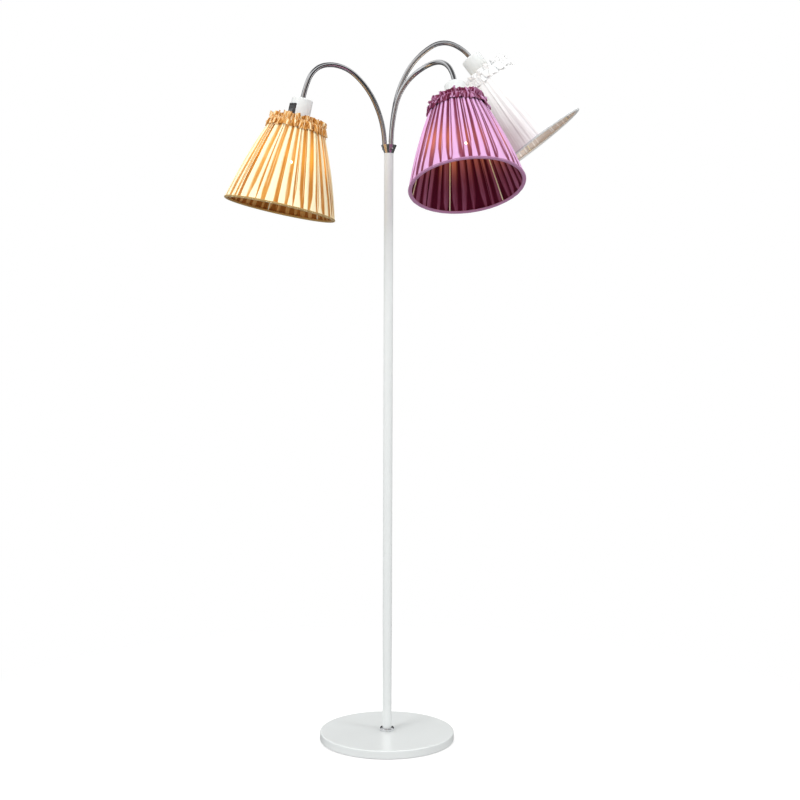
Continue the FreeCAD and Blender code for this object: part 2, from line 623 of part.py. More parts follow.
def head_cloth(arm, head, phase):
    """Pleated satin cone open at both ends, and the gathered ruffle round its top."""
    count = int(mm("pleatCount"))
    drops = [SHADE_TOP + (SHADE_RIM - SHADE_TOP) * k / 3 for k in range(4)]
    outer = [folded(count, shade_radius(d) - pleat_depth(d), shade_radius(d), d, phase) for d in drops]
    inner = [folded(count, cloth_inside(d), shade_radius(d) - mm("clothThick"), d, phase) for d in drops]
    cloth = doc.addObject("Part::Feature", "shade_cloth_" + arm)
    cloth.Shape = sleeve(outer, inner)
    keep("shade_cloth_" + arm, cloth, head)

    lobes = int(mm("ruffleCount"))
    lobe = mm("ruffleLobe")
    seat = shade_radius(RUFFLE_HEM) + mm("clothGap")
    levels = (
        (mm("socketHeight") - mm("ruffleRise"), mm("ruffleTopRadius"), lobe),
        (mm("socketHeight") - mm("waistRise"), mm("ruffleWaistRadius"), 0.4 * lobe),
        (mm("socketHeight") - mm("puffRise"), max(mm("rufflePuffRadius"), seat + mm("ruffleThick") + lobe), lobe),
        (RUFFLE_HEM, seat + mm("ruffleThick") + 0.4 * lobe, 0.4 * lobe),
    )
    wide = [folded(lobes, crest - wave, crest, d, phase + 1.0) for d, crest, wave in levels]
    thick = mm("ruffleThick")
    narrow = [folded(lobes, crest - wave - thick, crest - thick, d, phase + 1.0) for d, crest, wave in levels]
    ruffle = doc.addObject("Part::Feature", "shade_ruffle_" + arm)
    ruffle.Shape = sleeve(wide, narrow)
    keep("shade_ruffle_" + arm, ruffle, head)


def sleeve(outer, inner):
    """The cloth between two sets of closed outlines, open at its two ends."""
    walls = []
    for rings in (outer, inner):
        for above, below in zip(rings, rings[1:]):
            for one, other in zip(above.Edges, below.Edges):
                walls.append(Part.makeRuledSurface(one, other))
    for end in (0, -1):
        for one, other in zip(outer[end].Edges, inner[end].Edges):
            walls.append(Part.makeRuledSurface(one, other))
    shell = Part.makeShell([face for wall in walls for face in wall.Faces])
    shell.sewShape()
    solid_cloth = Part.makeSolid(shell)
    if solid_cloth.Volume < 0:
        solid_cloth.reverse()
    return solid_cloth


for index, (arm, side) in enumerate(ARMS):
    start, first, second, end = neck(arm, side)
    head_socket(arm, end)
    pivot = head_switch(arm, end)
    head_bulb(arm, end)
    head_frame(arm, end)
    head_cloth(arm, end, 1.3 * index)
    for joint, frame in (("swing", start), ("bend", first), ("aim", second), ("head", end), ("rocker", pivot)):
        turn = frame.Rotation
        print("frame", arm, joint, [round(v, 4) for v in frame.Base],
              "x", [round(v, 6) for v in turn.multVec(AXIS_X)],
              "y", [round(v, 6) for v in turn.multVec(AXIS_Y)],
              "z", [round(v, 6) for v in turn.multVec(AXIS_Z)])

# ---------------------------------------------------------------- check and write
doc.recompute()
problems = []
for item in doc.Objects:
    if "Invalid" in item.State or "Error" in item.State:
        problems.append("%s is %s" % (item.Name, item.State))
for piece in nodes:
    if piece.Shape.isNull() or not piece.Shape.isValid() or len(piece.Shape.Solids) != 1:
        problems.append("%s is not one sound solid" % piece.Label)
if problems:
    raise RuntimeError("; ".join(problems))

os.makedirs("parts", exist_ok=True)
for piece in nodes:
    piece.Shape.exportStep("parts/%s.step" % piece.Label)
    print(piece.Label, len(piece.Shape.Solids), "solid(s)", round(piece.Shape.Volume / 1000.0, 3), "cm3")
print(len(nodes), "sub-parts")
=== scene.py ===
import math

import bpy
import numpy as np
from mathutils import Matrix, Vector


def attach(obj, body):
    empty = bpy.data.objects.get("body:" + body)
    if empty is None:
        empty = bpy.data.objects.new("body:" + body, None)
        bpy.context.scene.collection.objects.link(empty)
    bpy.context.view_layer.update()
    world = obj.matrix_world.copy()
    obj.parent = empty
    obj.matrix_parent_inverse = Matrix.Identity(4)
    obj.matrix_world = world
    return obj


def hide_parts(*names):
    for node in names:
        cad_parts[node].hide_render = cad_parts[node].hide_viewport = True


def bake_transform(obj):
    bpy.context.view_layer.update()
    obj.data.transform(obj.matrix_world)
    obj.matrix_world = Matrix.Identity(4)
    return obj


# A floor lamp with a round white base, a slim pole and three polished goosenecks, each with a
# flared shade of gathered satin: gold, plum and white. Metres, +Z up, the front towards -Y.

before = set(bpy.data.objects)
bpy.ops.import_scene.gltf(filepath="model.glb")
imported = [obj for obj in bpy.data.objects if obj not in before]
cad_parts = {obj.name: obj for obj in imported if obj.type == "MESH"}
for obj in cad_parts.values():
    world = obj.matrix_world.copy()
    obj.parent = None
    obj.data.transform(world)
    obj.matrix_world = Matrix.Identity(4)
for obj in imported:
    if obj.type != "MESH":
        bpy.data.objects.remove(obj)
scene = bpy.context.scene
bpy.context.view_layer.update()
scene.view_settings.view_transform = "Standard"

# ---------------------------------------------------------------- camera
# Eye level a little above the middle of the lamp, 2.6 m away, tilted slightly down.
EYE = (0.02489, -2.5803, 0.8015)
DOWN_TILT = math.radians(2.02)
ROLL = 0.0036
camera = bpy.data.objects.new("camera", bpy.data.cameras.new("camera"))
camera.data.sensor_width = 36.0
camera.data.lens = 55.83
camera.data.clip_end = 50.0
camera.matrix_world = (Matrix.Translation(EYE) @ Matrix.Rotation(math.pi / 2 - DOWN_TILT, 4, "X")
                       @ Matrix.Rotation(ROLL, 4, "Z"))
scene.collection.objects.link(camera)
scene.camera = camera

# ---------------------------------------------------------------- studio
# White surroundings for the eye, an even light for the colours, and for polished metal a room
# with bright windows in dark walls. Two soft boxes stand in front and one hangs above.
SOFT_BOXES = (
    # name, place, size, watts
    ("box_left", (-2.4, -2.6, 2.2), (1.5, 2.4), 74.0),
    ("box_right", (2.9, -1.7, 1.9), (1.0, 2.2), 40.0),
    ("box_top", (0.2, 0.3, 3.4), (1.8, 1.8), 36.0),
)
LIGHT_AIM = (0.0, 0.0, 1.0)
ROOM_GREY = 0.72


def add(tree, kind, inputs=None, **settings):
    """A node with its settings and its inputs, each a plain value or another node's output."""
    node = tree.nodes.new("ShaderNode" + kind)
    for key, value in settings.items():
        setattr(node, key, value)
    for key, value in (inputs or {}).items():
        socket = node.inputs[key]
        if isinstance(value, bpy.types.NodeSocket):
            tree.links.new(value, socket)
        else:
            socket.default_value = value
    return node


def ramp(tree, factor, stops, interpolation="LINEAR"):
    """A colour ramp through the given (position, colour) stops."""
    node = add(tree, "ValToRGB", {"Fac": factor})
    node.color_ramp.interpolation = interpolation
    while len(node.color_ramp.elements) < len(stops):
        node.color_ramp.elements.new(1.0)
    for element, (position, colour) in zip(node.color_ramp.elements, stops):
        element.position = position
        element.color = (*colour, 1.0)
    return node.outputs["Color"]


def grey(level):
    return (level, level, level)


def studio_world():
    world = bpy.data.worlds.new("studio")
    world.use_nodes = True
    tree = world.node_tree
    tree.nodes.clear()
    rays = add(tree, "LightPath")
    direction = add(tree, "SeparateXYZ", {"Vector": add(tree, "TexCoord").outputs["Generated"]})
    turn = add(tree, "Math", {0: direction.outputs["Y"], 1: direction.outputs["X"]}, operation="ARCTAN2")
    share = add(tree, "MapRange", {"Value": turn.outputs[0], "From Min": -math.pi, "From Max": math.pi})
    # Share of a full turn and colour: dark walls with windows, pale corners and one warm brown band that paints a
    # warm reflection into the chrome.
    walls = ramp(tree, share.outputs[0], [
        (0.000, grey(0.03)), (0.035, grey(0.03)), (0.045, grey(1.0)), (0.145, grey(1.0)), (0.155, grey(0.06)),
        (0.195, grey(0.06)), (0.205, grey(0.42)), (0.225, (0.50, 0.27, 0.11)), (0.240, (0.50, 0.27, 0.11)),
        (0.250, grey(0.42)), (0.310, grey(0.36)), (0.320, grey(0.02)), (0.470, grey(0.02)), (0.480, grey(1.0)),
        (0.545, grey(1.0)), (0.555, grey(0.03)), (0.870, grey(0.03)), (0.890, grey(0.45)), (0.950, grey(0.45)),
        (0.965, grey(0.03)),
    ])
    rise = add(tree, "MapRange", {"Value": direction.outputs["Z"], "From Min": 0.42, "From Max": 0.50})
    ceiling = ramp(tree, direction.outputs["Z"], [(0.50, grey(0.80)), (0.76, grey(0.80)), (0.84, grey(0.10))])
    mirrored = add(tree, "Mix", {"Factor": rise.outputs[0], "A": walls, "B": ceiling}, data_type="RGBA")
    shown = add(tree, "Mix", {"Factor": rays.outputs["Is Glossy Ray"], "A": (*grey(ROOM_GREY), 1.0),
                              "B": mirrored.outputs["Result"]}, data_type="RGBA")
    seen = add(tree, "Math", {0: rays.outputs["Is Camera Ray"], 1: rays.outputs["Is Transmission Ray"]},
               operation="MAXIMUM")
    colour = add(tree, "Mix", {"Factor": seen.outputs[0], "A": shown.outputs["Result"], "B": (1.0, 1.0, 1.0, 1.0)},
                 data_type="RGBA")
    back = add(tree, "Background", {"Color": colour.outputs["Result"], "Strength": 1.0})
    tree.links.new(back.outputs[0], add(tree, "OutputWorld").inputs["Surface"])
    scene.world = world


studio_world()
for name, place, size, watts in SOFT_BOXES:
    lamp = bpy.data.lights.new(name, "AREA")
    lamp.shape = "RECTANGLE"
    lamp.size, lamp.size_y = size
    lamp.energy = watts
    holder = bpy.data.objects.new(name, lamp)
    scene.collection.objects.link(holder)
    away = Vector(place) - Vector(LIGHT_AIM)
    holder.location = place
    holder.visible_glossy = False
    holder.rotation_euler = away.to_track_quat("Z", "Y").to_euler()

# ---------------------------------------------------------------- floor
# A round pale floor that takes the base's soft shadow and fades into the white surroundings.
FLOOR_RADIUS = 6.0
FLOOR_STEPS = 96


def new_material(name, colour=(0.8, 0.8, 0.8), **shader_values):
    """A node material; returns it, its tree and its main shader."""
    material = bpy.data.materials.new(name)
    material.use_nodes = True
    tree = material.node_tree
    shader = tree.nodes["Principled BSDF"]
    shader.inputs["Base Color"].default_value = (*colour, 1.0)
    for key, value in shader_values.items():
        shader.inputs[key.replace("_", " ").title().replace("Ior", "IOR")].default_value = value
    material.diffuse_color = (*colour, 1.0)
    return material, tree, shader


def floor_finish():
    material, tree, shader = new_material("pale_floor", grey(0.86), roughness=0.9)
    place = add(tree, "TexCoord").outputs["Object"]
    reach = add(tree, "VectorMath", {0: place}, operation="LENGTH").outputs["Value"]
    fade = add(tree, "MapRange", {"Value": reach, "From Min": 0.35, "From Max": 1.1}, interpolation_type="SMOOTHSTEP")
    white = add(tree, "Emission", {"Color": (1.0, 1.0, 1.0, 1.0), "Strength": 1.0})
    lift = add(tree, "Emission", {"Color": (1.0, 1.0, 1.0, 1.0), "Strength": 0.16})
    near = add(tree, "AddShader", {0: shader.outputs[0], 1: lift.outputs[0]})
    mix = add(tree, "MixShader", {0: fade.outputs[0], 1: near.outputs[0], 2: white.outputs[0]})
    rays = add(tree, "LightPath")
    level = add(tree, "MapRange", {"Value": rays.outputs["Is Glossy Ray"], "To Min": 0.70, "To Max": 0.10})
    dim = add(tree, "Emission", {"Color": (1.0, 1.0, 1.0, 1.0), "Strength": level.outputs[0]})
    both = add(tree, "MixShader", {0: rays.outputs["Is Camera Ray"], 1: dim.outputs[0], 2: mix.outputs[0]})
    tree.links.new(both.outputs[0], tree.nodes["Material Output"].inputs["Surface"])
    return material


turns = np.linspace(0.0, 2 * np.pi, FLOOR_STEPS, endpoint=False)
rim = np.stack([FLOOR_RADIUS * np.cos(turns), FLOOR_RADIUS * np.sin(turns), np.full(FLOOR_STEPS, -0.0005)], axis=1)
floor_mesh = bpy.data.meshes.new("floor")
floor_mesh.from_pydata(rim.tolist(), [], [list(range(FLOOR_STEPS))])
floor_mesh.materials.append(floor_finish())
floor = bpy.data.objects.new("floor", floor_mesh)
scene.collection.objects.link(floor)

# ---------------------------------------------------------------- base
# Pressed steel cover in white powder coat over a cast weight, on a foam pad. A hollow stud, a
# washer and a nut hold the pole from below, and a chrome collar hides the joint.
WHITE_PAINT = (0.745, 0.77, 0.765)


def finish_node(names, material):
    """Give CAD nodes a material in all their slots."""
    for name in names:
        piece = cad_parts[name]
        if not piece.material_slots:
            piece.data.materials.append(material)
        for holder in piece.material_slots:
            holder.material = material


def bump(tree, shader, height, distance, strength=1.0):
    """Raise the surface by a height, in metres at full height."""
    node = add(tree, "Bump", {"Height": height, "Distance": distance, "Strength": strength})
    tree.links.new(node.outputs["Normal"], shader.inputs["Normal"])
    return node


def paint(name, colour, roughness=0.34, peel=0.00004, speck=0.03):
    """Powder coat: a fine orange peel, a faint cloudiness and a clear top layer."""
    material, tree, shader = new_material(name, colour, coat_weight=0.25, coat_roughness=0.18)
    place = add(tree, "TexCoord").outputs["Object"]
    cloud = add(tree, "TexNoise", {"Vector": place, "Scale": 9.0, "Detail": 3.0}).outputs["Fac"]
    grain = add(tree, "TexNoise", {"Vector": place, "Scale": 620.0, "Detail": 2.0}).outputs["Fac"]
    dust = add(tree, "TexNoise", {"Vector": place, "Scale": 170.0, "Detail": 4.0, "Roughness": 0.8}).outputs["Fac"]
    darker = tuple(c * (1.0 - speck) for c in colour)
    tone = ramp(tree, cloud, [(0.30, darker), (0.65, colour)])
    specks = ramp(tree, dust, [(0.30, grey(0.965)), (0.42, grey(1.0))])
    both = add(tree, "Mix", {"Factor": 1.0, "A": tone, "B": specks}, data_type="RGBA", blend_type="MULTIPLY")
    tree.links.new(both.outputs["Result"], shader.inputs["Base Color"])
    gloss = add(tree, "MapRange", {"Value": cloud, "To Min": roughness - 0.05, "To Max": roughness + 0.06})
    tree.links.new(gloss.outputs[0], shader.inputs["Roughness"])
    bump(tree, shader, grain, peel)
    return material


def metal(name, colour, roughness, scratch_scale, scratch_depth, streak=(1.0, 1.0, 1.0)):
    """Bare or plated metal with fine wear lines and faint smears."""
    material, tree, shader = new_material(name, colour, metallic=1.0)
    place = add(tree, "TexCoord").outputs["Object"]
    stretched = add(tree, "Mapping", {"Vector": place, "Scale": streak}).outputs["Vector"]
    wear = add(tree, "TexNoise", {"Vector": stretched, "Scale": scratch_scale, "Detail": 5.0,
                                  "Roughness": 0.65}).outputs["Fac"]
    smear = add(tree, "TexNoise", {"Vector": place, "Scale": 22.0, "Detail": 2.0}).outputs["Fac"]
    gloss = add(tree, "MapRange", {"Value": smear, "To Min": roughness * 0.7, "To Max": roughness * 1.5})
    tree.links.new(gloss.outputs[0], shader.inputs["Roughness"])
    darker = tuple(c * 0.86 for c in colour)
    tree.links.new(ramp(tree, wear, [(0.35, darker), (0.6, colour)]), shader.inputs["Base Color"])
    bump(tree, shader, wear, scratch_depth)
    return material


def moulded(name, colour, roughness, grain_scale=900.0, grain_depth=0.00002):
    """Moulded plastic or rubber with a spark-eroded grain."""
    material, tree, shader = new_material(name, colour)
    place = add(tree, "TexCoord").outputs["Object"]
    grain = add(tree, "TexNoise", {"Vector": place, "Scale": grain_scale, "Detail": 3.0}).outputs["Fac"]
    cloud = add(tree, "TexNoise", {"Vector": place, "Scale": 35.0, "Detail": 2.0}).outputs["Fac"]
    lighter = tuple(min(1.0, c * 1.25 + 0.01) for c in colour)
    tree.links.new(ramp(tree, cloud, [(0.35, colour), (0.7, lighter)]), shader.inputs["Base Color"])
    gloss = add(tree, "MapRange", {"Value": grain, "To Min": roughness - 0.06, "To Max": roughness + 0.08})
    tree.links.new(gloss.outputs[0], shader.inputs["Roughness"])
    bump(tree, shader, grain, grain_depth)
    return material


white_paint = paint("white_paint", WHITE_PAINT)
polished_chrome = metal("polished_chrome", (0.80, 0.81, 0.83), 0.05, 260.0, 0.000004)
zinc = metal("zinc_plate", (0.62, 0.61, 0.56), 0.30, 300.0, 0.00002)
casting = moulded("rough_casting", (0.10, 0.10, 0.105), 0.75, 240.0, 0.00025)
foam_pad = moulded("foam_pad", (0.035, 0.035, 0.037), 0.85, 500.0, 0.0001)
black_plastic = moulded("black_plastic", (0.035, 0.036, 0.038), 0.42)
finish_node(["base_cover"], white_paint)
finish_node(["base_weight"], casting)
finish_node(["base_pad"], foam_pad)
finish_node(["base_stud", "base_washer", "base_nut"], zinc)
finish_node(["base_collar"], polished_chrome)
finish_node(["cord_gland"], black_plastic)

# ---------------------------------------------------------------- pole
# Four steel tubes in the same coat, screwed together on zinc-plated sleeves; the seams show.
finish_node(["pole_section_1", "pole_section_2", "pole_section_3", "pole_top"], white_paint)
finish_node(["pole_coupler_1", "pole_coupler_2", "pole_coupler_3"], zinc)

# ---------------------------------------------------------------- cup
# A turned and chromed cone on the pole's top, bored for the three goosenecks.
finish_node(["neck_cup"], polished_chrome)

# ---------------------------------------------------------------- goosenecks
# Flexible steel hose, polished and chromed, whose ribs are so fine that they hardly show. Each
# follows five tangent arcs from its seat in the cup to its socket, made as two pieces, a rise and a drop.
NECK_RADIUS = 0.0049
RIB_DEPTH = 0.00002
RIB_PITCH = 0.0017
RIB_SAMPLES = 6
NECK_AROUND = 24
SEAT_CIRCLE = 0.0088
SEAT_LEVEL = 1.23278
ROOT_LENGTH = 0.0052
TAIL_LENGTH = 0.0070
RELIEF = 0.005 * math.tan(math.radians(42.0 / 2))
KNUCKLE_GAP = 0.0003
ARC_LENGTHS = (0.080, 0.080, 0.075, 0.053, 0.038)
SPLIT_AT = 0.200
SMOOTHING = 20  # samples to each side
ARMS = ("gold", "purple", "white")
NECKS = {
    # arm: side of the seat, azimuth of the first bend, the five bends, the twists before bends two to five
    "gold": (180.0, 208.3, (24.2, 30.4, 50.7, 55.4, 9.9), (2.8, 2.0, -10.3, -1.0)),
    "purple": (-60.0, -10.8, (12.4, 40.3, 68.9, 26.8, 26.8), (-6.9, -44.0, 19.1, 20.6)),
    "white": (60.0, -2.8, (9.2, 20.0, 29.0, 56.5, 29.3), (1.4, 7.7, 2.1, -18.6)),
}


def turned(axis, degrees):
    """Rotation matrix about one axis."""
    return np.array(Matrix.Rotation(math.radians(degrees), 3, axis))


def neck_line(arm):
    """Centreline as points every rib sample, with distances from the seat.
    A frame walks from arc to arc: a point on an arc of radius r, turned by a, lies at
    (0, r cos a - r, r sin a) in the frame at its start. The steps in curvature are smoothed."""
    side, azimuth, bends, twists = NECKS[arm]
    turn = turned("Z", azimuth + 90.0)
    here = turned("Z", side) @ np.array([SEAT_CIRCLE, 0.0, 0.0]) + [0.0, 0.0, SEAT_LEVEL]
    ends = ((0.0, RELIEF), (RELIEF + KNUCKLE_GAP, 0.0), (0.0, 0.0), (0.0, RELIEF), (RELIEF + KNUCKLE_GAP, 0.0))
    runs = [(ROOT_LENGTH, 0.0, 0.0)]
    for length, bend, (before, after), twist in zip(ARC_LENGTHS, bends, ends, (0.0, *twists)):
        runs += [(before, 0.0, twist), (length - before - after, bend, 0.0), (after, 0.0, 0.0)]
    runs.append((TAIL_LENGTH, 0.0, 0.0))
    here = here - turn[:, 2] * ROOT_LENGTH
    distance = -ROOT_LENGTH
    places, marks = [], []
    for length, bend, twist in runs:
        turn = turn @ turned("Z", twist)
        if length == 0.0:
            continue
        angle = math.radians(bend)
        along = np.linspace(0.0, 1.0, max(3, round(length / RIB_PITCH * RIB_SAMPLES)))
        if bend:
            radius = length / angle
            local = np.stack([0 * along, radius * np.cos(angle * along) - radius, radius * np.sin(angle * along)],
                             axis=1)
        else:
            local = np.stack([0 * along, 0 * along, length * along], axis=1)
        world = here + local @ turn.T
        places.append(world[:-1])
        marks.append(distance + length * along[:-1])
        here = world[-1]
        distance += length
        turn = turn @ turned("X", bend)
    places.append(here[None])
    marks.append([distance])
    places, marks = np.concatenate(places), np.concatenate(marks)
    even = np.linspace(marks[0], marks[-1], round((marks[-1] - marks[0]) / RIB_PITCH * RIB_SAMPLES))
    line = np.stack([np.interp(even, marks, places[:, k]) for k in range(3)], axis=1)
    window = np.hanning(2 * SMOOTHING + 3)[1:-1]
    window /= window.sum()
    padded = np.concatenate([2 * line[0] - line[SMOOTHING:0:-1], line, 2 * line[-1] - line[-2:-SMOOTHING - 2:-1]])
    line = np.stack([np.convolve(padded[:, k], window, "valid") for k in range(3)], axis=1)
    return line, even, azimuth


def grid_mesh(name, points, uv, values=None, closed=True):
    """A mesh from a grid of points [row, column]. Rows run down the piece and columns round it;
    the last column joins the first where it is closed. uv gives each corner a place in metres."""
    rows, columns = points.shape[:2]
    across = columns if closed else columns - 1
    r, c = np.meshgrid(np.arange(rows - 1), np.arange(across), indexing="ij")
    nxt = (c + 1) % columns
    faces = np.stack([r * columns + c, (r + 1) * columns + c, (r + 1) * columns + nxt, r * columns + nxt], axis=-1)
    mesh = bpy.data.meshes.new(name)
    mesh.vertices.add(rows * columns)
    mesh.vertices.foreach_set("co", points.reshape(-1).astype(np.float32))
    count = faces.shape[0] * faces.shape[1]
    mesh.loops.add(count * 4)
    mesh.loops.foreach_set("vertex_index", faces.reshape(-1).astype(np.int32))
    mesh.polygons.add(count)
    mesh.polygons.foreach_set("loop_start", np.arange(0, count * 4, 4, dtype=np.int32))
    mesh.polygons.foreach_set("use_smooth", np.ones(count, dtype=bool))
    corner_r = np.stack([r, r + 1, r + 1, r], axis=-1)
    corner_c = np.stack([c, c, c + 1, c + 1], axis=-1)
    u = uv[0][np.minimum(corner_c, len(uv[0]) - 1)]
    v = uv[1][corner_r]
    layer = mesh.uv_layers.new(name="cloth")
    layer.data.foreach_set("uv", np.stack([u, v], axis=-1).reshape(-1).astype(np.float32))
    for key, value in (values or {}).items():
        mesh.attributes.new(key, "FLOAT", "POINT").data.foreach_set("value", value.reshape(-1).astype(np.float32))
    mesh.update()
    mesh.validate()
    return mesh


def show(name, mesh, material):
    """Link a piece with its material."""
    piece = bpy.data.objects.new(name, mesh)
    mesh.materials.append(material)
    scene.collection.objects.link(piece)
    return piece


def hose(name, line, marks, azimuth):
    """A ribbed tube along a line. At distance d and angle a round it the radius is the neck's
    plus the rib's depth times the cosine of (one turn per pitch, plus a), so the rib winds."""
    ahead = np.gradient(line, axis=0)
    ahead /= np.linalg.norm(ahead, axis=1)[:, None]
    level = turned("Z", azimuth + 90.0)[:, 0]
    across = level - ahead * (ahead @ level)[:, None]
    across /= np.linalg.norm(across, axis=1)[:, None]
    up = np.cross(ahead, across)
    angle = np.linspace(0.0, 2 * np.pi, NECK_AROUND, endpoint=False)
    wave = np.cos(2 * np.pi * marks[:, None] / RIB_PITCH + angle[None])
    radius = NECK_RADIUS + RIB_DEPTH * wave
    points = (line[:, None] + (radius * np.cos(angle))[..., None] * across[:, None]
              - (radius * np.sin(angle))[..., None] * up[:, None])
    around = np.linspace(0.0, 2 * np.pi * NECK_RADIUS, NECK_AROUND + 1)
    return grid_mesh(name, points, (around, marks))


hose_chrome = metal("hose_chrome", (0.74, 0.75, 0.77), 0.09, 500.0, 0.000003)
for arm in ARMS:
    line, marks, azimuth = neck_line(arm)
    split = int(np.searchsorted(marks, SPLIT_AT))
    rise = show("hose_rise_" + arm, hose("hose_rise_" + arm, line[:split + 1], marks[:split + 1], azimuth),
                hose_chrome)
    drop = show("hose_drop_" + arm, hose("hose_drop_" + arm, line[split:], marks[split:], azimuth),
                hose_chrome)
    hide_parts("neck_lower_" + arm, "neck_middle_" + arm)
    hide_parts("neck_middle_" + arm, "neck_end_" + arm)
    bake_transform(rise)
    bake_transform(drop)

# ---------------------------------------------------------------- sockets
# A white painted cover with a rocker switch let into its side, a moulded lamp holder below it and
# a ring nut that clamps the shade's fitter.
holder_plastic = moulded("holder_plastic", (0.80, 0.80, 0.78), 0.36)
switch_plastic = moulded("switch_plastic", (0.045, 0.047, 0.05), 0.30)
rocker_plastic = moulded("rocker_plastic", (0.055, 0.057, 0.06), 0.24)
for arm in ARMS:
    finish_node(["socket_cover_" + arm], white_paint)
    finish_node(["lampholder_" + arm, "shade_ring_" + arm], holder_plastic)
    finish_node(["switch_frame_" + arm], switch_plastic)
    finish_node(["switch_rocker_" + arm], rocker_plastic)

# ---------------------------------------------------------------- bulbs
# A frosted pear bulb, lit warm and low, in a rolled aluminium cap. Its light through the cloth is
# painted into the cloth's finish as a glow.


def lit_glass():
    material, tree, shader = new_material("lit_glass", (1.0, 0.93, 0.80), roughness=0.45, ior=1.45)
    place = add(tree, "TexCoord").outputs["Object"]
    frost = add(tree, "TexNoise", {"Vector": place, "Scale": 700.0, "Detail": 2.0}).outputs["Fac"]
    bump(tree, shader, frost, 0.00002)
    shader.inputs["Emission Color"].default_value = (1.0, 0.62, 0.28, 1.0)
    shader.inputs["Emission Strength"].default_value = 2.2
    return material


bulb_glass = lit_glass()
cap_metal = metal("cap_metal", (0.72, 0.72, 0.70), 0.3, 300.0, 0.00001)
for arm in ARMS:
    finish_node(["bulb_glass_" + arm], bulb_glass)
    finish_node(["bulb_cap_" + arm], cap_metal)

# ---------------------------------------------------------------- shade frames
# Welded wire in a cream plastic coat: fitter, top ring, six struts and the rim ring.
cream_wire = paint("cream_wire", (0.86, 0.80, 0.56), 0.4, 0.00001, 0.02)
for arm in ARMS:
    finish_node(["shade_frame_" + arm], cream_wire)

# ---------------------------------------------------------------- satin cones
# A strip of satin gathered on the frame's rings. At the top its folds are narrow, deep and lean
# over each other; towards the rim each opens into a flat triangular dart.
HEADS = {
    # arm: middle of the socket cover's top, axis towards the opening, the last bend's axis
    "gold": ((-0.1710138, -0.0886841, 1.3129921), (-0.205463, 0.010849, -0.978605), (0.578297, -0.805346, -0.130345)),
    "purple": ((0.1304915, -0.1271673, 1.334278), (0.093179, -0.34109, -0.935401), (0.938915, 0.34271, -0.031439)),
    "white": ((0.1678704, 0.0155817, 1.4210221), (0.608003, -0.008872, -0.793885), (-0.239658, 0.951242, -0.194174)),
}
SHADE_TOP = 0.0525
SHADE_BOTTOM = 0.2240
CONE_TOP = 0.0590
CONE_LENGTH = 0.1650
TOP_RADIUS = 0.0564
RIM_RADIUS = 0.1126
BELLY = 0.0036
BULB_DROP = 0.128
SHADES = {
    # arm: folds, seed, depth at the top, at mid height and at the rim, half width of a ridge and
    # of a dart as shares of a fold, lean of the folds
    "gold": (38, 11, (0.0034, 0.0046, 0.0014), 0.190, 0.42, 0.34),
    "purple": (36, 23, (0.0034, 0.0044, 0.0012), 0.165, 0.40, 0.30),
    "white": (44, 37, (0.0019, 0.0020, 0.0007), 0.300, 0.44, 0.16),
}
SATIN_LIGHT_AND_SHADE = {
    # arm: deep, valley, slope, crest and hem colours; the first four run from painted shade deep in a fold to a
    # painted highlight on its crest
    "gold": ((0.12, 0.035, 0.007), (0.40, 0.110, 0.010), (0.64, 0.28, 0.050), (1.0, 0.90, 0.60), (0.46, 0.29, 0.10)),
    "purple": ((0.028, 0.002, 0.006), (0.095, 0.006, 0.022), (0.20, 0.030, 0.075), (0.68, 0.38, 0.64),
               (0.46, 0.22, 0.38)),
    "white": ((0.64, 0.68, 0.70), (0.84, 0.86, 0.87), (0.94, 0.94, 0.93), (0.96, 0.96, 0.955), (0.72, 0.735, 0.74)),
}
LINING_LIGHT_AND_SHADE = {
    # arm: colours inside, from behind a ridge to behind a valley: painted shade behind a ridge, painted light behind
    # a valley
    "gold": ((0.30, 0.115, 0.022), (0.47, 0.26, 0.080), (0.64, 0.43, 0.19)),
    "purple": ((0.075, 0.006, 0.020), (0.17, 0.030, 0.066), (0.36, 0.14, 0.25)),
    "white": ((0.70, 0.65, 0.62), (0.86, 0.84, 0.82), (0.93, 0.92, 0.91)),
}
GLOW = {
    # arm: colour of the painted glow, strength outside and inside, then the painted hot spot's angle and drop
    "gold": ((1.0, 0.42, 0.03), 0.55, 0.25, 0.480, 0.137),
    "purple": ((1.0, 0.30, 0.05), 0.42, 0.40, 1.946, 0.188),
    "white": ((1.0, 0.78, 0.60), 0.04, 0.06, 3.508, 0.115),
}
BELT_RISE = 0.018
BELT_HALF = 0.036
# The painted hot spot where the bulb shows brightest through the cloth.
SPOT_POWER = 40.0
SPOT_RADIUS = 0.0015
SPOT_COLOUR = (1.0, 0.88, 0.62)
CLOTH_THICK = 0.0004
GATHERING = 1.35
FOLD_SAMPLES = 20
CONE_ROWS = 54


def head_frame(arm):
    """Origin and rotation of a head: columns x, y and down."""
    top, down, side = (np.array(v) for v in HEADS[arm])
    return top, np.stack([side, np.cross(down, side), down], axis=1)


def to_world(arm, radius, angle, drop):
    """Points from radius, angle and drop in a head's own frame."""
    top, turn = head_frame(arm)
    local = np.stack([radius * np.cos(angle), radius * np.sin(angle), drop + 0 * radius], axis=-1)
    return top + local @ turn.T


def cone_radius(drop):
    """A straight taper from the top to the rim with a belly: the belly is a parabola."""
    share = (drop - CONE_TOP) / CONE_LENGTH
    return TOP_RADIUS + (RIM_RADIUS - TOP_RADIUS) * share + 4 * BELLY * share * (1 - share)


def smooth(x, low, high):
    """Smoothstep between two values."""
    t = np.clip((x - low) / (high - low), 0.0, 1.0)
    return t * t * (3 - 2 * t)


def ripple(draw, angle, along, waves, spread, drift):
    """Sum of sines round the piece with whole numbers of waves, sliding slowly along it."""
    total = 0.0
    for count in waves:
        phase, slide, size = draw.uniform(0, 2 * np.pi), draw.uniform(-drift, drift), draw.uniform(0.5, 1.0)
        total = total + size * np.sin(count * angle + phase + slide * along)
    return spread * total / math.sqrt(len(waves))


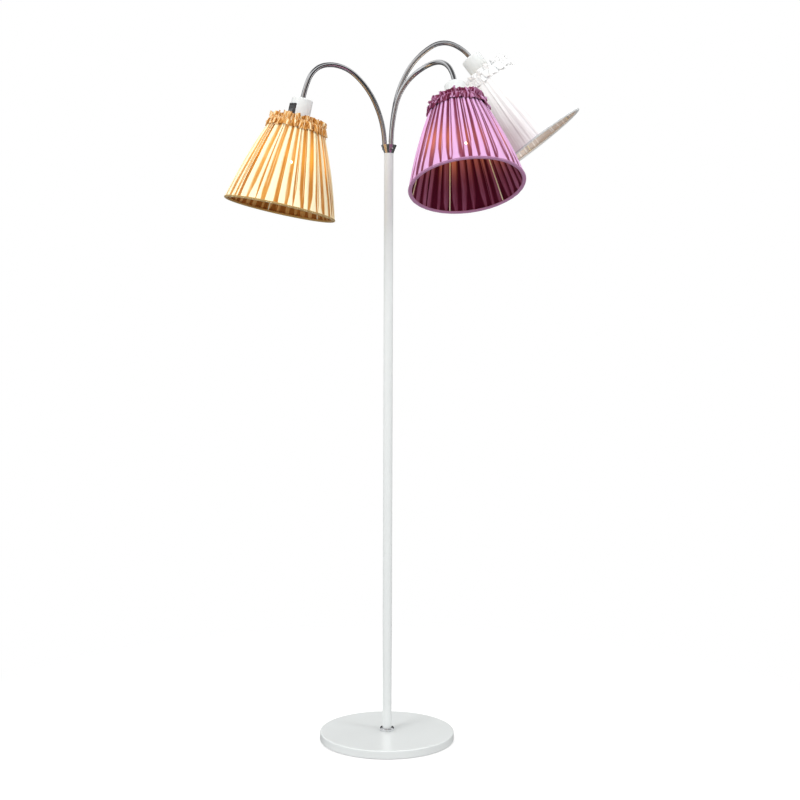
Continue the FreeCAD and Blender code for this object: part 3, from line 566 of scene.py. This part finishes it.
def cone_surface(arm):
    """Radius = cone + depth * fold. With t across a fold the ridge is exp(-(|t - c| / w)^m), over
    a valley floor that slants up to the next ridge; w and m grow where a ridge opens into its dart."""
    count, seed, depths, width, fill, lean = SHADES[arm]
    draw = np.random.default_rng(seed)

    def each(low, high):
        return draw.uniform(low, high, count)[None, :, None]

    pitch = 2 * np.pi / count
    shift, sway = each(-0.30, 0.30), each(-0.35, 0.35)
    middle, height, opens = each(0.44, 0.56), each(0.74, 1.10), each(0.70, 0.97)
    narrow, dart = width * each(0.7, 1.35), fill * each(0.35, 1.25)
    leans = lean * draw.choice([-1.0, 1.0, 1.0], count)[None, :, None] * each(0.5, 1.2)
    twin = each(0.30, 0.75) * (each(0.0, 1.0) < 0.6)
    slant, tone, lit = each(0.05, 0.34), each(0.0, 1.0), each(0.15, 1.3)
    share = (np.linspace(0.0, 1.0, CONE_ROWS) ** 0.9)[:, None, None]
    drop = SHADE_TOP + (SHADE_BOTTOM - SHADE_TOP) * share
    s = np.linspace(-1.0, 1.0, FOLD_SAMPLES, endpoint=False)[None, None, :]
    t = 0.5 + 0.5 * np.sign(s) * np.abs(s) ** 1.5
    left = (np.arange(count)[None, :, None] + shift + sway * (share - 0.4)) * pitch
    right = np.roll(left, -1, axis=1)
    right[:, -1] += 2 * np.pi
    opening = np.clip((share - opens) / (1.03 - opens), 0.0, 1.0)
    w = narrow * (1 + 0.25 * share)
    w = w + np.maximum(dart - w, 0.0) * opening
    ridge = np.exp(-(np.abs(t - middle) / w) ** (2.0 + 4.0 * opening))
    beside = np.exp(-((t - middle - 2.3 * narrow) / (0.6 * narrow)) ** 2) * twin * (1 - opening)
    before = t < middle
    along = np.where(before, 0.5 + 0.5 * t / middle, 0.5 * (t - middle) / (1 - middle))
    valley = {key: np.where(before, value, np.roll(value, -1, axis=1))
              for key, value in (("slant", slant), ("tone", tone), ("lit", lit))}
    fold = np.maximum(ridge, beside)
    top, mid, low = depths
    depth = np.where(share < 0.5, top + (mid - top) * smooth(share, 0.0, 0.5),
                     mid + (low - mid) * smooth(share, 0.5, 1.0))
    relief = fold * height + (1 - fold) * valley["slant"] * along
    angle = left + t * (right - left) + leans * pitch * ridge * (1 - opening) * (0.35 + 0.65 * (1 - share))
    fine = ripple(draw, angle, share, (61, 83, 97, 113, 131, 151, 173), 0.00016, 9.0)
    loose = ripple(draw, angle, share, (3, 5, 7, 9, 14), 0.0006, 3.0) * np.sin(np.pi * share)
    pucker = ripple(draw, angle, share, (89, 107, 127, 149), 0.00035, 2.0) * smooth(share, 0.93, 1.0)
    radius = cone_radius(drop) - depth * 0.9 + depth * relief + fine + loose + pucker
    tuck = smooth(share, 0.0, 0.05)
    radius = radius * tuck + (1 - tuck) * (cone_radius(SHADE_TOP) - 0.0012 + 0.5 * depth * (relief - 0.5))
    # Painted shade and highlight: dark in the valleys, darkest just past a ridge where its shade falls, pale on the
    # crests, palest on the tallest.
    paint = 0.08 + 0.22 * valley["tone"] + 0.24 * along
    paint = paint + (0.92 + 0.20 * (height - 0.74) - paint) * smooth(fold, 0.12, 0.62)
    # Painted glow of the bulb through the cloth: a belt at the bulb's level, mostly in the valleys, and a painted hot
    # spot.
    spot_angle, spot_drop = GLOW[arm][3:]
    facing = np.angle(np.exp(1j * (angle - spot_angle)))
    level = BULB_DROP - BELT_RISE + (spot_drop - BULB_DROP) * np.clip(np.cos(facing), 0.0, 1.0)
    glow = np.exp(-((drop - level) / BELT_HALF) ** 2) * valley["lit"] * (1 - fold) ** 2
    off = facing * cone_radius(spot_drop)
    glow = glow + SPOT_POWER * np.exp(-(off ** 2 + (drop - spot_drop) ** 2) / SPOT_RADIUS ** 2)
    shape = (CONE_ROWS, count, FOLD_SAMPLES)
    radius, angle, drop, paint, glow = (np.broadcast_to(a, shape).reshape(CONE_ROWS, -1)
                                        for a in (radius, angle, drop, paint, glow))
    return to_world(arm, radius, angle, drop), paint, glow


def satin(name, stops, glow, power, slub_scale):
    """Satin whose colour paints a highlight where a fold stands out and shade deep in its valleys, with a close weave
    and a sheen.
    The lit bulb shows through the thin cloth as a painted warm glow at its level, most in the valleys."""
    crest = stops[-1][1]
    material, tree, shader = new_material(name, stops[len(stops) // 2][1], sheen_weight=0.15,
                                          sheen_roughness=0.35, sheen_tint=(*crest, 1.0),
                                          specular_ior_level=0.45, specular_tint=(*crest, 1.0))
    fold = add(tree, "Attribute", attribute_name="fold").outputs["Fac"]
    near = add(tree, "Attribute", attribute_name="near").outputs["Fac"]
    place = add(tree, "UVMap", uv_map="cloth").outputs["UV"]
    stretched = add(tree, "Mapping", {"Vector": place, "Scale": (slub_scale, 22.0, 1.0)}).outputs[0]
    slubs = add(tree, "TexNoise", {"Vector": stretched, "Scale": 1.0, "Detail": 3.0}).outputs["Fac"]
    uneven = add(tree, "Math", {0: slubs, 1: 0.42, 2: -0.21}, operation="MULTIPLY_ADD").outputs[0]
    uneven = add(tree, "Math", {0: fold, 1: uneven}, operation="ADD").outputs[0]
    # Base colour by the fold's value: painted shade in the valleys, painted highlight on the crests.
    tree.links.new(ramp(tree, uneven, stops), shader.inputs["Base Color"])
    gloss = add(tree, "MapRange", {"Value": slubs, "To Min": 0.30, "To Max": 0.48})
    tree.links.new(gloss.outputs[0], shader.inputs["Roughness"])
    threads, picks = (add(tree, "TexWave", {"Vector": place, "Scale": scale, "Distortion": 0.4},
                          bands_direction=way).outputs["Fac"] for scale, way in ((620.0, "X"), (900.0, "Y")))
    weave = add(tree, "Math", {0: threads, 1: picks}, operation="MULTIPLY").outputs[0]
    lines = add(tree, "Math", {0: weave, 1: slubs}, operation="ADD").outputs[0]
    bump(tree, shader, lines, 0.00006)
    # Painted glow: the cloth emits the bulb's light where near is high, turning to the hot spot's colour at the
    # painted hot spot.
    lit = add(tree, "Math", {0: near, 1: power}, operation="MULTIPLY")
    hot = add(tree, "MapRange", {"Value": near, "From Min": 2.0, "From Max": 12.0}).outputs[0]
    tree.links.new(ramp(tree, hot, [(0.0, glow), (1.0, SPOT_COLOUR)]), shader.inputs["Emission Color"])
    tree.links.new(lit.outputs[0], shader.inputs["Emission Strength"])
    return material


def thicken(piece, lining=None):
    """A cloth's thickness, laid inwards from its outer face, with its own finish inside."""
    wall = piece.modifiers.new("thickness", "SOLIDIFY")
    wall.thickness = CLOTH_THICK
    wall.offset = -1.0
    if lining:
        piece.data.materials.append(lining)
        wall.material_offset = 1


satins, linings = {}, {}
for arm in ARMS:
    deep, valley, slope, crest = SATIN_LIGHT_AND_SHADE[arm][:4]
    dark, plain, pale = LINING_LIGHT_AND_SHADE[arm]
    glow, outside, inside = GLOW[arm][:3]
    satins[arm] = satin(arm + "_satin", [(0.0, deep), (0.15, valley), (0.42, slope), (0.88, crest)],
                        glow, outside, 420.0)
    linings[arm] = satin(arm + "_lining", [(0.10, pale), (0.45, plain), (0.85, dark)], glow, inside, 620.0)
for arm in ARMS:
    # fold carries the painted shade and highlight of the folds, near the painted glow of the bulb through the cloth.
    points, fold, near = (grid[:, ::-1] for grid in cone_surface(arm))
    length = SHADE_BOTTOM - SHADE_TOP
    columns = points.shape[1]
    girth = 2 * np.pi * 0.5 * (TOP_RADIUS + RIM_RADIUS) * GATHERING
    laid = (np.linspace(0.0, girth, columns + 1), np.linspace(0.0, length, CONE_ROWS))
    mesh = grid_mesh("cone_" + arm, points, laid, {"fold": fold, "near": near})
    cone = show("cone_" + arm, mesh, satins[arm])
    thicken(cone, linings[arm])
    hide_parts("shade_cloth_" + arm)
    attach(cone, "head_" + arm)

# ---------------------------------------------------------------- hems
# The strip's lower edge is wrapped round the rim ring and bound with a narrow band of the same
# satin, oversewn.
HEM_MIDDLE = (0.1093, 0.2225)
HEM_WIDE = 0.0038
HEM_HIGH = 0.0025
HEM_AROUND = 12
HEM_STEPS = 900
HEM_STRIP = (0.70, 0.012)
STITCHES = 236


def hem_surface(arm):
    """A ring round the rim wire: an ellipse in section, pinched by a slanting stitch."""
    turn = np.linspace(0.0, 2 * np.pi, HEM_STEPS, endpoint=False)[None, :]
    section = np.linspace(0.0, 2 * np.pi, HEM_AROUND + 1)[:, None]
    pinch = 1.0 - 0.08 * np.abs(np.sin(0.5 * STITCHES * turn + 0.8 * section)) ** 6
    radius = HEM_MIDDLE[0] + HEM_WIDE * np.cos(section) * pinch
    drop = HEM_MIDDLE[1] - HEM_HIGH * np.sin(section) * pinch
    return to_world(arm, radius, turn, drop)


def hem_cloth(name, arm):
    crest, tone = SATIN_LIGHT_AND_SHADE[arm][3:]
    material, tree, shader = new_material(name, tone, sheen_weight=0.12, sheen_roughness=0.35, roughness=0.42,
                                          specular_tint=(*crest, 1.0))
    place = add(tree, "UVMap", uv_map="cloth").outputs["UV"]
    twill = add(tree, "TexWave", {"Vector": place, "Scale": 330.0, "Distortion": 0.6},
                bands_direction="DIAGONAL").outputs["Fac"]
    darker = tuple(0.75 * c for c in tone)
    tree.links.new(ramp(tree, twill, [(0.2, darker), (0.6, tone)]), shader.inputs["Base Color"])
    bump(tree, shader, twill, 0.00008)
    return material


for arm in ARMS:
    points = hem_surface(arm)
    laid = (np.linspace(0.0, HEM_STRIP[0], HEM_STEPS + 1), np.linspace(0.0, HEM_STRIP[1], HEM_AROUND + 1))
    mesh = grid_mesh("hem_" + arm, points, laid)
    hem = show("hem_" + arm, mesh, hem_cloth(arm + "_hem", arm))
    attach(hem, "head_" + arm)

# ---------------------------------------------------------------- ruffles
# Two frills of the same satin, gathered on one line of stitches above the cone's top: one stands
# up round the socket, the other folds down over the cone.
FRILLS = {
    # name: loops, swing of a loop, ragged edge, then radius and drop of the path's three points
    "upper": (16, 0.0032, 0.0024, ((0.0510, 0.0530), (0.0560, 0.0490), (0.0535, 0.0385))),
    "lower": (24, 0.0022, 0.0024, ((0.0530, 0.0470), (0.0575, 0.0520), (0.0605, 0.0650))),
}
FRILL_LAID = (0.65, 0.016)
FRILL_ROWS = 20
FRILL_SAMPLES = 26
FRILL_SEED = 100


def frill_surface(arm, tier, seed):
    """The path from the waist to the free edge is a bend through three points. Round the frill it
    swings in slanting loops: radius + b sin(p), angle + c sin(2 p), where p runs once per loop
    unevenly and drifts along the path; finer sums of sines crush it."""
    loops, swing, ragged, path = FRILLS[tier]
    draw = np.random.default_rng(seed)
    turn = np.linspace(0.0, 2 * np.pi, loops * FRILL_SAMPLES, endpoint=False)[None, :]
    share = np.linspace(0.0, 1.0, FRILL_ROWS)[:, None]
    phase = loops * turn + ripple(draw, turn, share, (2, 3, 5, 7, 11, 13), 2.2, 2.2)
    size = np.clip(1.0 + ripple(draw, turn, share, (3, 4, 7, 9, 13), 0.60, 1.5), 0.15, 2.2)
    free = smooth(share, 0.0, 0.6)
    crush = ripple(draw, turn, share, (37, 47, 59, 71, 83, 97, 113, 131), 1.0, 9.0)
    wander = ripple(draw, turn, share, (4, 6, 9, 12, 15, 19), 1.0, 4.0)
    bend = [(1 - share) ** 2 * a + 2 * share * (1 - share) * b + share ** 2 * c for a, b, c in zip(*path)]
    radius = bend[0] + free * (swing * size * np.sin(phase) + 0.0017 * crush + 0.0014 * wander)
    angle = turn + 0.034 * free * size * np.sin(2 * phase + 0.6) + 0.010 * free * crush
    drop = bend[1] + free * ragged * (0.5 * np.sin(phase + 1.1) + ripple(draw, turn, share, (7, 13, 23, 31, 41), 0.9, 5.0))
    # Painted shade in the frill: darker where a loop swings in, with a narrow dark line once per loop, paler where it
    # swings out.
    fold = 0.50 + 0.30 * np.sin(phase) * free + 0.26 * crush - 0.45 * np.abs(np.sin(0.5 * phase + 0.8)) ** 10 * free
    return to_world(arm, radius, angle, drop), np.clip(fold, 0.0, 1.0)


for index, arm in enumerate(ARMS):
    for tier in ("upper", "lower"):
        name = "frill_" + tier + "_" + arm
        seed = FRILL_SEED + 10 * index + len(tier)
        points, fold = (grid[:, ::-1] for grid in frill_surface(arm, tier, seed))
        if tier == "upper":
            points, fold = points[::-1], fold[::-1]
        laid = (np.linspace(0.0, FRILL_LAID[0], points.shape[1] + 1),
                np.linspace(0.0, FRILL_LAID[1], FRILL_ROWS))
        mesh = grid_mesh(name, points, laid, {"fold": fold, "near": np.zeros(fold.shape)})
        frill = show(name, mesh, satins[arm])
        thicken(frill)
        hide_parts("shade_ruffle_" + arm)
        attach(frill, "head_" + arm)
